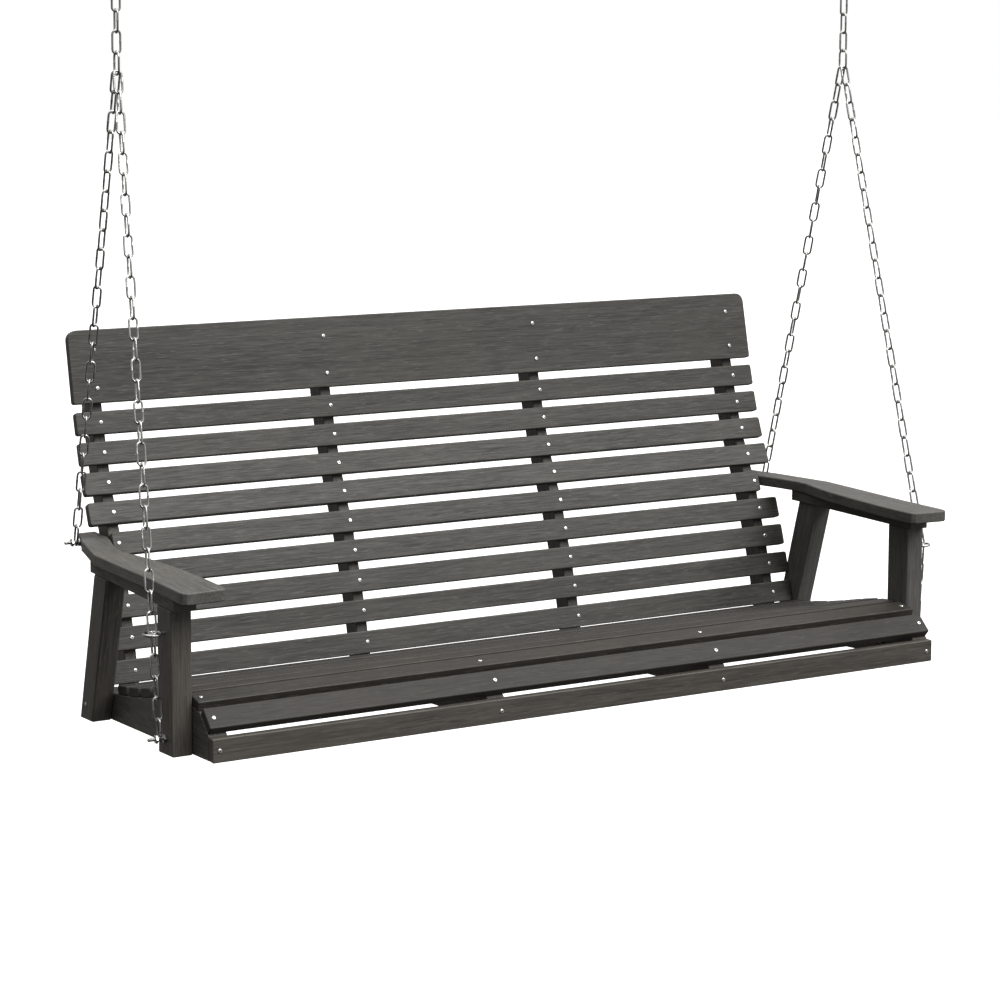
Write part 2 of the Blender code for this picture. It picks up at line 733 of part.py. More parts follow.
def build_hanger(word, side):
    """A ceiling plate with four screw holes, a short stem and a ring for the top link."""
    ceiling = at(HANG_X, HANG_Y, HANG_DROP)
    outline = rounded_rectangle(HANGER_PLATE[0], HANGER_PLATE[1], HANGER_PLATE_CORNER, steps=3)
    points, faces = board_mesh(
        outline, HANGER_PLATE_THICK, ceiling, Vector((1, 0, 0)), Vector((0, 1, 0)), 0.0006
    )
    hanger = add_object(f"ceiling_hanger_{word}", points, faces, side, None, STEEL_COLOUR, 1.0)

    down = Vector((0, 0, -1))
    along = Vector((0, 1, 0))
    ring_middle = at(HANG_X, HANG_Y, HANGER_Z - HANGER_WIRE + HANGER_RING_RADIUS)
    ring_top = ceiling.z - ring_middle.z - HANGER_RING_RADIUS
    profile = (
        (HANGER_PLATE_THICK / 2, HANGER_STEM_RADIUS + 0.002),
        (HANGER_PLATE_THICK + 0.002, HANGER_STEM_RADIUS),
        (ring_top + 0.001, HANGER_STEM_RADIUS - 0.001),
    )
    points, faces = turned_mesh(profile, ceiling, down, along)
    stem = add_object(f"ceiling_hanger_{word}_stem", points, faces, side, None, STEEL_COLOUR, 1.0)
    combine(hanger, stem, "UNION")

    path = circle_path(HANGER_RING_RADIUS, 16)
    points, faces = loop_mesh(path, ring_middle, along, Vector((0, 0, 1)), HANGER_WIRE, 8)
    ring = add_object(f"ceiling_hanger_{word}_ring", points, faces, side, None, STEEL_COLOUR, 1.0)
    combine(hanger, ring, "UNION")

    for number, (x, y) in enumerate(((-1, -1), (1, -1), (1, 1), (-1, 1)), start=1):
        middle = ceiling + Vector((x * HANGER_HOLES[0], y * HANGER_HOLES[1], 0.002))
        profile = ((0.0, HANGER_HOLE_RADIUS), (HANGER_PLATE_THICK + 0.004, HANGER_HOLE_RADIUS))
        points, faces = turned_mesh(profile, middle, down, along, 20)
        tool = add_object(f"ceiling_hanger_{word}_hole_{number}", points, faces, side)
        combine(hanger, tool, "DIFFERENCE")


def main():
    clear_scene()
    upper_pivot = make_pivot("upper_chain_pivot", at(0.0, HANG_Y, HANGER_Z))
    bench_pivot = make_pivot("bench_pivot", at(0.0, HANG_Y, JOINT_Z))
    build_back(bench_pivot)
    build_seat(bench_pivot)
    for word, side in SIDES:
        build_arm(word, side, bench_pivot)
        build_hardware(word, side, bench_pivot)
        build_chains(word, side, upper_pivot, bench_pivot)
        build_hanger(word, side)


main()
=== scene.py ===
import logging
import math
import random
from dataclasses import dataclass, field
from enum import Enum
from typing import Iterable, Sequence

import bmesh
import bpy
from mathutils import Matrix, Vector


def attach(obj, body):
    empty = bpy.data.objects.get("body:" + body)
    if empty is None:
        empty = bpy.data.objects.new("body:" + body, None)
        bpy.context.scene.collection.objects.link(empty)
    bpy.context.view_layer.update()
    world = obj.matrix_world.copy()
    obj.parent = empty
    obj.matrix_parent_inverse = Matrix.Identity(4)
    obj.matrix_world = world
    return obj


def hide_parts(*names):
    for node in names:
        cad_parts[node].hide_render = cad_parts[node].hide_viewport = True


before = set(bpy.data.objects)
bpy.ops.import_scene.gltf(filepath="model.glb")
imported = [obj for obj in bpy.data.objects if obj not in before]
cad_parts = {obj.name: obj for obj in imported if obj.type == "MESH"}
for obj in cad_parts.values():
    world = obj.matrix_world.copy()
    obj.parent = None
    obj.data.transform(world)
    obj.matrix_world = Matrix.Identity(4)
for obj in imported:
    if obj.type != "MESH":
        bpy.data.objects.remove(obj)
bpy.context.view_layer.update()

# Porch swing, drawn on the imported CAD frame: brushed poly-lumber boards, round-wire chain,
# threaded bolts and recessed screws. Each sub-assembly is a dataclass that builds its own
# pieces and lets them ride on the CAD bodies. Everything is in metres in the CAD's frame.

LOG = logging.getLogger("porch_swing")

# The bench is laid out in its own frame; these carry it to the ceiling frame of the CAD.
HANG_SHIFT = 0.1807
HANG_DROP = 1.055
HANG_X = 0.7215
HANG_Y = -HANG_SHIFT
HANGER_Z = 1.008
JOINT_Z = 0.8065

# Hardware of the right side, in the bench frame.
GUIDE_EYE = (0.7585, -0.400, -0.066)
FRONT_LINK = (0.7485, -0.400, -0.236)
REAR_LINK = (0.7195, 0.052, -0.002)
REAR_POST_SCREW = (0.7390, -0.0384, -0.2649)
HANGER_PLATE_UNDERSIDE = -0.0040

X_AXIS = Vector((1.0, 0.0, 0.0))
Y_AXIS = Vector((0.0, 1.0, 0.0))
Z_AXIS = Vector((0.0, 0.0, 1.0))

# Edges sharper than these stay sharp when a piece is shaded, in degrees.
BOARD_SHARP = 40.0
HEAD_SHARP = 40.0
WIRE_SHARP = 60.0
TURNED_SHARP = 50.0
NUT_SHARP = 24.0

Colour = tuple[float, float, float]
Socket = bpy.types.NodeSocket


class Body(str, Enum):
    """The rigid bodies of the CAD frame."""

    HANGERS = "hangers"
    UPPER = "upper_chains"
    BENCH = "bench"


class Grain(Enum):
    """The direction in which a board was brushed, as (along, tilt about X in degrees)."""

    ALONG_X = ("x", 0.0)
    ALONG_Y = ("y", 0.0)
    ALONG_Z = ("z", 0.0)
    REAR_POST = ("z", 16.8)


class Side(Enum):
    """Left and right, as the sign of X."""

    LEFT = ("left", -1.0)
    RIGHT = ("right", 1.0)

    @property
    def word(self) -> str:
        """The name that the CAD nodes use."""
        return self.value[0]

    @property
    def sign(self) -> float:
        """The sign of X on this side."""
        return self.value[1]


@dataclass(frozen=True)
class BoardFinish:
    """Brushed poly lumber.

    Args:
        dark: colour of the grooves between fibres.
        light: colour of the raised fibres.
        worn: colour of the hairline scratches and of the edges, whose lightening is partly wear
            and partly a painted highlight.
        roughness: middle roughness.
        relief: depth of the brushed grain, in metres.
    """

    dark: Colour
    light: Colour
    worn: Colour
    roughness: float = 0.52
    relief: float = 0.00035


@dataclass(frozen=True)
class MetalFinish:
    """Plated or bare steel.

    Args:
        bright: colour of the clean metal.
        dull: colour of the stained metal.
        roughness: middle roughness.
        brushed: how strongly fine scratches show in the surface.
    """

    bright: Colour
    dull: Colour
    roughness: float
    brushed: float = 0.2


BACK_FINISH = BoardFinish((0.018, 0.0172, 0.0155), (0.074, 0.0715, 0.065), (0.125, 0.122, 0.113))
# The seat boards are a darker copy of the back's lumber: painted shade.
SEAT_PAINTED_SHADE_FINISH = BoardFinish((0.012, 0.0105, 0.0085), (0.037, 0.0325, 0.0265), (0.085, 0.078, 0.067))
# The nose board is a darker copy still: painted shade on its forward-leaning face.
NOSE_PAINTED_SHADE_FINISH = BoardFinish((0.008, 0.0068, 0.0052), (0.024, 0.0205, 0.0160), (0.055, 0.050, 0.042))
ARM_FINISH = BoardFinish((0.043, 0.042, 0.038), (0.118, 0.114, 0.103), (0.18, 0.175, 0.16))
# The frame's lumber is tinted browner: partly its own colour, partly painted warm shade for its
# shaded faces.
FRAME_FINISH_WITH_PAINTED_WARM_SHADE = BoardFinish((0.030, 0.027, 0.023), (0.096, 0.089, 0.078), (0.13, 0.12, 0.105))
# The right-hand posts get a lighter, cooler copy of the frame's lumber: painted light with a cool
# tint.
FAR_POST_PAINTED_LIGHT_FINISH = BoardFinish((0.038, 0.037, 0.036), (0.125, 0.123, 0.120), (0.16, 0.158, 0.15))
CHAIN_FINISH = MetalFinish((0.66, 0.66, 0.65), (0.42, 0.42, 0.41), 0.22, 0.05)
BOLT_FINISH = MetalFinish((0.68, 0.68, 0.67), (0.40, 0.40, 0.39), 0.26, 0.25)
SCREW_FINISH = MetalFinish((0.86, 0.86, 0.85), (0.60, 0.60, 0.59), 0.28, 0.25)
PLATE_FINISH = MetalFinish((0.60, 0.60, 0.60), (0.38, 0.38, 0.38), 0.36, 0.45)


def at(x: float, y: float, z: float) -> Vector:
    """Carries a point of the bench frame into the CAD frame.

    Args:
        x: along the seat.
        y: to the back.
        z: up.

    Returns:
        The point in the CAD frame.
    """
    return Vector((x, y + HANG_SHIFT, z - HANG_DROP))


class NodeWriter:
    """Writes the shader nodes of one material."""

    def __init__(self, name: str) -> None:
        """Starts an empty node material.

        Args:
            name: the material's name.
        """
        self.material = bpy.data.materials.new(name)
        self.material.use_nodes = True
        self.tree = self.material.node_tree
        self.shader = self.tree.nodes["Principled BSDF"]

    def node(self, kind: str, **settings: object) -> bpy.types.Node:
        """Adds a node.

        Args:
            kind: the node's type name without the ShaderNode prefix.
            settings: attributes of the node.

        Returns:
            The new node.
        """
        made = self.tree.nodes.new("ShaderNode" + kind)
        for key, value in settings.items():
            setattr(made, key, value)
        return made

    def join(self, source: Socket, target: Socket) -> None:
        """Links an output to an input.

        Args:
            source: the output socket.
            target: the input socket.
        """
        self.tree.links.new(source, target)

    def place(self, scale: Sequence[float], shift: Sequence[float], turn_x: float = 0.0) -> Socket:
        """Object coordinates, moved, turned about X and scaled.

        Args:
            scale: repeats per metre on each axis.
            shift: offset that gives each board its own pattern.
            turn_x: rotation about X in radians.

        Returns:
            The vector output.
        """
        coordinates = self.node("TexCoord")
        turned = self.node("Mapping", vector_type="POINT")
        turned.inputs["Location"].default_value = shift
        turned.inputs["Rotation"].default_value = (turn_x, 0.0, 0.0)
        scaled = self.node("Mapping", vector_type="POINT")
        scaled.inputs["Scale"].default_value = scale
        self.join(coordinates.outputs["Object"], turned.inputs["Vector"])
        self.join(turned.outputs["Vector"], scaled.inputs["Vector"])
        return scaled.outputs["Vector"]

    def noise(self, vector: Socket, detail: float, rough: float, warp: float = 0.0) -> Socket:
        """A fractal noise.

        Args:
            vector: where it is sampled.
            detail: octaves.
            rough: how strongly fine octaves count.
            warp: distortion.

        Returns:
            Its value output, about 0 to 1.
        """
        made = self.node("TexNoise", noise_dimensions="3D")
        made.inputs["Scale"].default_value = 1.0
        made.inputs["Detail"].default_value = detail
        made.inputs["Roughness"].default_value = rough
        made.inputs["Distortion"].default_value = warp
        self.join(vector, made.inputs["Vector"])
        return made.outputs["Fac"]

    def remap(
        self, value: Socket, low: float, high: float, to_low: float, to_high: float
    ) -> Socket:
        """Stretches a range of values onto another.

        Args:
            value: the input.
            low: start of the range read.
            high: end of the range read.
            to_low: result at low.
            to_high: result at high.

        Returns:
            The stretched value.
        """
        made = self.node("MapRange")
        ends = {"From Min": low, "From Max": high, "To Min": to_low, "To Max": to_high}
        for key, number in ends.items():
            made.inputs[key].default_value = number
        self.join(value, made.inputs["Value"])
        return made.outputs["Result"]

    def math(self, kind: str, first: Socket, second: Socket | float) -> Socket:
        """A sum, product or other two-number step.

        Args:
            kind: the operation.
            first: an output socket.
            second: an output socket or a number.

        Returns:
            The result.
        """
        made = self.node("Math", operation=kind)
        self.join(first, made.inputs[0])
        if isinstance(second, (int, float)):
            made.inputs[1].default_value = second
        else:
            self.join(second, made.inputs[1])
        return made.outputs[0]

    def mix(self, amount: Socket, first: Socket | Colour, second: Socket | Colour) -> Socket:
        """Mixes two colours.

        Args:
            amount: 0 for the first, 1 for the second.
            first: a socket or a colour.
            second: a socket or a colour.

        Returns:
            The colour output.
        """
        made = self.node("Mix", data_type="RGBA")
        self.join(amount, made.inputs["Factor"])
        for socket, value in ((made.inputs[6], first), (made.inputs[7], second)):
            if isinstance(value, tuple):
                socket.default_value = (*value, 1.0)
            else:
                self.join(value, socket)
        return made.outputs[2]

    def edge(self, radius: float, low: float, high: float) -> Socket:
        """How near the surface is to a convex edge.

        Args:
            radius: reach of the edge, in metres.
            low: least turn of the normal that counts.
            high: turn that counts in full.

        Returns:
            0 on flat ground to 1 on the edge.
        """
        bevel = self.node("Bevel", samples=4)
        bevel.inputs["Radius"].default_value = radius
        geometry = self.node("NewGeometry")
        dot = self.node("VectorMath", operation="DOT_PRODUCT")
        self.join(bevel.outputs["Normal"], dot.inputs[0])
        self.join(geometry.outputs["Normal"], dot.inputs[1])
        return self.remap(dot.outputs["Value"], 1.0 - low, 1.0 - high, 0.0, 1.0)


def board_material(name: str, finish: BoardFinish, grain: Grain, seed: int) -> bpy.types.Material:
    """Brushed poly lumber with short raised fibres, longer streaks and lighter edges, partly
    rubbed wear and partly a painted highlight.

    Args:
        name: the material's name.
        finish: its colours and relief.
        grain: the direction of the fibres.
        seed: picks the board's own pattern and tone.

    Returns:
        The material.
    """
    chance = random.Random(seed)
    write = NodeWriter(name)
    shift = [chance.uniform(-9.0, 9.0) for _ in range(3)]
    along, tilt = grain.value
    turn = math.radians(-tilt)

    def stretched(length: float, across: float) -> Socket:
        """Coordinates for streaks of one length and width.

        Args:
            length: repeats per metre along the fibres.
            across: repeats per metre across them.

        Returns:
            The vector output.
        """
        scale = [length if axis == along else across for axis in "xyz"]
        return write.place(scale, shift, turn)

    fibres = write.noise(stretched(24.0, 560.0), 3.0, 0.62)
    dashes = write.noise(stretched(13.0, 300.0), 2.0, 0.5)
    hairs = write.noise(stretched(42.0, 430.0), 1.0, 0.4)
    streaks = write.noise(stretched(3.2, 120.0), 3.0, 0.55, 0.4)
    tone = write.noise(stretched(1.3, 13.0), 2.0, 0.5)
    patches = write.noise(stretched(7.0, 7.0), 3.0, 0.55)

    fine = write.remap(fibres, 0.36, 0.66, 0.0, 0.52)
    middle = write.remap(dashes, 0.38, 0.64, 0.0, 0.30)
    coarse = write.remap(streaks, 0.38, 0.64, 0.0, 0.22)
    wide = write.remap(tone, 0.35, 0.65, -0.05, 0.15)
    grey = write.math("ADD", write.math("ADD", fine, middle), write.math("ADD", coarse, wide))
    colour = write.mix(grey, finish.dark, finish.light)

    board_tone = chance.uniform(-1.0, 1.0)
    warm = tuple(c * f for c, f in zip(finish.light, (1.02, 0.95, 0.85)))
    warmth = write.remap(patches, 0.45, 0.72, 0.0, 0.30 + 0.08 * board_tone)
    colour = write.mix(warmth, colour, warm)

    hair = write.remap(hairs, 0.63, 0.70, 0.0, 0.40)
    colour = write.mix(hair, colour, finish.worn)

    # Convex edges are lightened: partly rubbed wear, partly a painted highlight along the edges.
    edge = write.edge(0.0030, 0.004, 0.10)
    edge_wear_and_highlight = write.math("MULTIPLY", edge, write.remap(dashes, 0.30, 0.62, 0.10, 0.55))
    colour = write.mix(edge_wear_and_highlight, colour, finish.worn)

    spread = write.node("HueSaturation")
    spread.inputs["Value"].default_value = 1.0 + 0.05 * board_tone
    write.join(colour, spread.inputs["Color"])
    write.join(spread.outputs["Color"], write.shader.inputs["Base Color"])

    rough = write.remap(fibres, 0.30, 0.70, finish.roughness + 0.10, finish.roughness - 0.08)
    write.join(rough, write.shader.inputs["Roughness"])
    write.shader.inputs["Specular IOR Level"].default_value = 0.36
    write.shader.inputs["Sheen Weight"].default_value = 0.03
    write.shader.inputs["Sheen Roughness"].default_value = 0.5

    raised = write.math("MULTIPLY", fibres, 0.55)
    height = write.math("ADD", raised, write.math("MULTIPLY", dashes, 0.45))
    bump = write.node("Bump")
    bump.inputs["Strength"].default_value = 0.55
    bump.inputs["Distance"].default_value = finish.relief
    write.join(height, bump.inputs["Height"])
    write.join(bump.outputs["Normal"], write.shader.inputs["Normal"])
    return write.material


def metal_material(name: str, finish: MetalFinish, seed: int) -> bpy.types.Material:
    """Plated steel with faint stains, fine scratches and a painted highlight on its edges.

    Args:
        name: the material's name.
        finish: its colours and roughness.
        seed: picks the pattern.

    Returns:
        The material.
    """
    chance = random.Random(seed)
    write = NodeWriter(name)
    shift = [chance.uniform(-5.0, 5.0) for _ in range(3)]
    stains = write.noise(write.place((70.0, 70.0, 70.0), shift), 2.0, 0.5)
    scratches = write.noise(write.place((260.0, 2600.0, 2600.0), shift), 2.0, 0.5)
    amount = write.remap(stains, 0.38, 0.68, 0.0, 0.75)
    colour = write.mix(amount, finish.bright, finish.dull)
    # Convex edges are mixed towards a near-white colour: a painted highlight along the edges.
    edge = write.edge(0.0006, 0.01, 0.2)
    colour = write.mix(write.math("MULTIPLY", edge, 0.35), colour, (0.85, 0.85, 0.84))
    write.join(colour, write.shader.inputs["Base Color"])
    write.shader.inputs["Metallic"].default_value = 1.0
    rough = write.remap(stains, 0.30, 0.70, finish.roughness - 0.05, finish.roughness + 0.10)
    write.join(rough, write.shader.inputs["Roughness"])
    bump = write.node("Bump")
    bump.inputs["Strength"].default_value = finish.brushed
    bump.inputs["Distance"].default_value = 0.0001
    write.join(scratches, bump.inputs["Height"])
    write.join(bump.outputs["Normal"], write.shader.inputs["Normal"])
    return write.material


class MeshBuilder:
    """Collects points and faces of one piece."""

    def __init__(self) -> None:
        """Starts empty."""
        self.points: list[Vector] = []
        self.faces: list[tuple[int, ...]] = []

    def add(self, points: Iterable[Vector], faces: Iterable[tuple[int, ...]]) -> None:
        """Adds a shell.

        Args:
            points: its points.
            faces: its faces, counted from its own first point.
        """
        offset = len(self.points)
        self.points.extend(points)
        self.faces.extend(tuple(offset + corner for corner in face) for face in faces)

    def turned(
        self, profile: Sequence[tuple[float, float]], origin: Vector, axis: Vector, segments: int
    ) -> None:
        """Adds a solid of revolution, closed at both ends.

        Args:
            profile: pairs of distance along the axis and radius.
            origin: where distance is zero.
            axis: unit direction.
            segments: faces around.
        """
        side = axis.orthogonal().normalized()
        other = axis.cross(side)
        points = []
        for distance, radius in profile:
            for step in range(segments):
                turn = 2.0 * math.pi * step / segments
                outward = math.cos(turn) * side + math.sin(turn) * other
                points.append(origin + distance * axis + radius * outward)
        faces: list[tuple[int, ...]] = [tuple(reversed(range(segments)))]
        for ring in range(len(profile) - 1):
            for i in range(segments):
                j = (i + 1) % segments
                low, high = ring * segments, (ring + 1) * segments
                faces.append((low + i, low + j, high + j, high + i))
        last = (len(profile) - 1) * segments
        faces.append(tuple(range(last, last + segments)))
        self.add(points, faces)

    def loop(
        self, path: Sequence[tuple[float, float]], middle: Vector, across: Vector, along: Vector,
        radii: Sequence[float], sides: int,
    ) -> None:
        """Adds a round wire bent along a closed flat path.

        Args:
            path: counter-clockwise (across, along) points.
            middle: where the path's zero is.
            across: unit direction of the first number.
            along: unit direction of the second number.
            radii: wire radius at each point.
            sides: faces around the wire.
        """
        normal = across.cross(along)
        count = len(path)
        points = []
        for i, here in enumerate(path):
            before = (Vector(here) - Vector(path[i - 1])).normalized()
            after = (Vector(path[(i + 1) % count]) - Vector(here)).normalized()
            mitre = Vector((before.y + after.y, -before.x - after.x)) / (1.0 + before.dot(after))
            for k in range(sides):
                turn = 2.0 * math.pi * k / sides
                flat = Vector(here) + mitre * radii[i] * math.cos(turn)
                level = radii[i] * math.sin(turn)
                points.append(middle + flat.x * across + flat.y * along + level * normal)
        faces = []
        for i in range(count):
            j = (i + 1) % count
            for k in range(sides):
                m = (k + 1) % sides
                faces.append((i * sides + k, j * sides + k, j * sides + m, i * sides + m))
        self.add(points, faces)

    def piece(
        self, name: str, body: Body, material: bpy.types.Material, smooth_deg: float
    ) -> bpy.types.Object:
        """Makes the object and lets it ride.

        Args:
            name: the piece's name.
            body: the CAD body that carries it.
            material: its material.
            smooth_deg: edges sharper than this stay sharp.

        Returns:
            The object.
        """
        mesh = bpy.data.meshes.new(name)
        mesh.from_pydata([tuple(p) for p in self.points], [], self.faces)
        mesh.update()
        thing = bpy.data.objects.new(name, mesh)
        bpy.context.scene.collection.objects.link(thing)
        finish_piece(thing, body, material, smooth_deg)
        return thing


def finish_piece(
    thing: bpy.types.Object, body: Body, material: bpy.types.Material, smooth_deg: float
) -> None:
    """Shades, paints and fastens a new piece.

    Args:
        thing: the object.
        body: the CAD body that carries it.
        material: its material.
        smooth_deg: edges sharper than this stay sharp.
    """
    mesh = thing.data
    mesh.materials.clear()
    mesh.materials.append(material)
    mesh.shade_smooth()
    mesh.set_sharp_from_angle(angle=math.radians(smooth_deg))
    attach(thing, body.value)


@dataclass(frozen=True)
class BoardSpec:
    """One board of the swing.

    Args:
        node: the CAD node it is made from.
        finish: its finish.
        grain: direction of its fibres.
        slot: the record's material slot; not used.
    """

    node: str
    finish: BoardFinish
    grain: Grain
    slot: str


@dataclass
class Boards:
    """Every board, each drawn from its CAD solid with rounded edges.

    Args:
        rounding: radius of the extra edge rounding, in metres.
        segments: faces across each rounding.
        weld_reach: CAD points nearer than this are one point, in metres.
        flat_deg: neighbouring faces that turn less than this merge, in degrees.
        edge_deg: edges that turn more than this are rounded, in degrees.
        specs: the boards.
    """

    rounding: float = 0.0008
    segments: int = 3
    weld_reach: float = 1e-5
    flat_deg: float = 0.6
    edge_deg: float = 24.0
    specs: list[BoardSpec] = field(default_factory=list)

    def plan(self) -> None:
        """Lists the boards with their finish and grain."""
        add = self.specs.append
        for number in ["top", *range(1, 10)]:
            add(BoardSpec(f"back_slat_{number}", BACK_FINISH, Grain.ALONG_X, "back_board"))
        # The seat slats take the darker copy of the lumber, as painted shade.
        for number in range(1, 8):
            add(BoardSpec(f"seat_slat_{number}", SEAT_PAINTED_SHADE_FINISH, Grain.ALONG_X, "seat_board"))
        # The nose slat takes the darkest copy of the lumber, as painted shade.
        add(BoardSpec("seat_nose_slat", NOSE_PAINTED_SHADE_FINISH, Grain.ALONG_X, "seat_board"))
        add(BoardSpec("seat_apron", FRAME_FINISH_WITH_PAINTED_WARM_SHADE, Grain.ALONG_X, "seat_board"))
        for side in Side:
            # The right posts take a lighter, cooler copy of the lumber as painted light.
            post = FAR_POST_PAINTED_LIGHT_FINISH if side is Side.RIGHT else FRAME_FINISH_WITH_PAINTED_WARM_SHADE
            for place in ("outer", "inner"):
                upright = f"upright_{place}_{side.word}"
                add(BoardSpec(upright, FRAME_FINISH_WITH_PAINTED_WARM_SHADE, Grain.ALONG_Z, "frame_board"))
                support = f"seat_support_{place}_{side.word}"
                add(BoardSpec(support, FRAME_FINISH_WITH_PAINTED_WARM_SHADE, Grain.ALONG_Y, "frame_board"))
            add(BoardSpec(f"front_post_{side.word}", post, Grain.ALONG_Z, "frame_board"))
            add(BoardSpec(f"rear_post_{side.word}", post, Grain.REAR_POST, "frame_board"))
            add(BoardSpec(f"arm_plate_{side.word}", FRAME_FINISH_WITH_PAINTED_WARM_SHADE, Grain.ALONG_Y, "frame_board"))
            add(BoardSpec(f"armrest_{side.word}", ARM_FINISH, Grain.ALONG_Y, "arm_board"))

    def rounded(self, spec: BoardSpec) -> bpy.types.Mesh:
        """A copy of the CAD solid with its flat faces merged and its sharp edges rounded.

        Args:
            spec: the board.

        Returns:
            The new mesh.
        """
        work = bmesh.new()
        work.from_mesh(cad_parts[spec.node].data)
        bmesh.ops.remove_doubles(work, verts=work.verts, dist=self.weld_reach)
        bmesh.ops.dissolve_limit(
            work, angle_limit=math.radians(self.flat_deg), verts=work.verts, edges=work.edges
        )
        least = math.radians(self.edge_deg)
        sharp = [e for e in work.edges if len(e.link_faces) == 2 and e.calc_face_angle() > least]
        bmesh.ops.bevel(
            work, geom=sharp, offset=self.rounding, segments=self.segments, profile=0.5,
            affect="EDGES", clamp_overlap=True,
        )
        bmesh.ops.triangulate(work, faces=[f for f in work.faces if len(f.verts) > 4])
        mesh = bpy.data.meshes.new(spec.node + "_board")
        work.to_mesh(mesh)
        work.free()
        return mesh

    def build(self) -> None:
        """Makes every board and hides the solid it stands for."""
        self.plan()
        for seed, spec in enumerate(self.specs, start=11):
            thing = bpy.data.objects.new(spec.node + "_board", self.rounded(spec))
            bpy.context.scene.collection.objects.link(thing)
            material = board_material(spec.node + "_grain", spec.finish, spec.grain, seed)
            finish_piece(thing, Body.BENCH, material, BOARD_SHARP)
            weighted = thing.modifiers.new("weighted_normals", "WEIGHTED_NORMAL")
            weighted.keep_sharp = True
            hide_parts(spec.node)
            LOG.info("board %s", thing.name)


@dataclass(frozen=True)
class ChainShape:
    """Straight-link chain bent from round wire.

    Args:
        wire: radius of the wire.
        width: width of a link between wire middles.
        steps: faces around each end of a link.
        sides: faces around the wire.
        weld: how much the weld swells the wire, as a factor.
    """

    wire: float = 0.00185
    width: float = 0.0136
    steps: int = 8
    sides: int = 10
    weld: float = 1.13


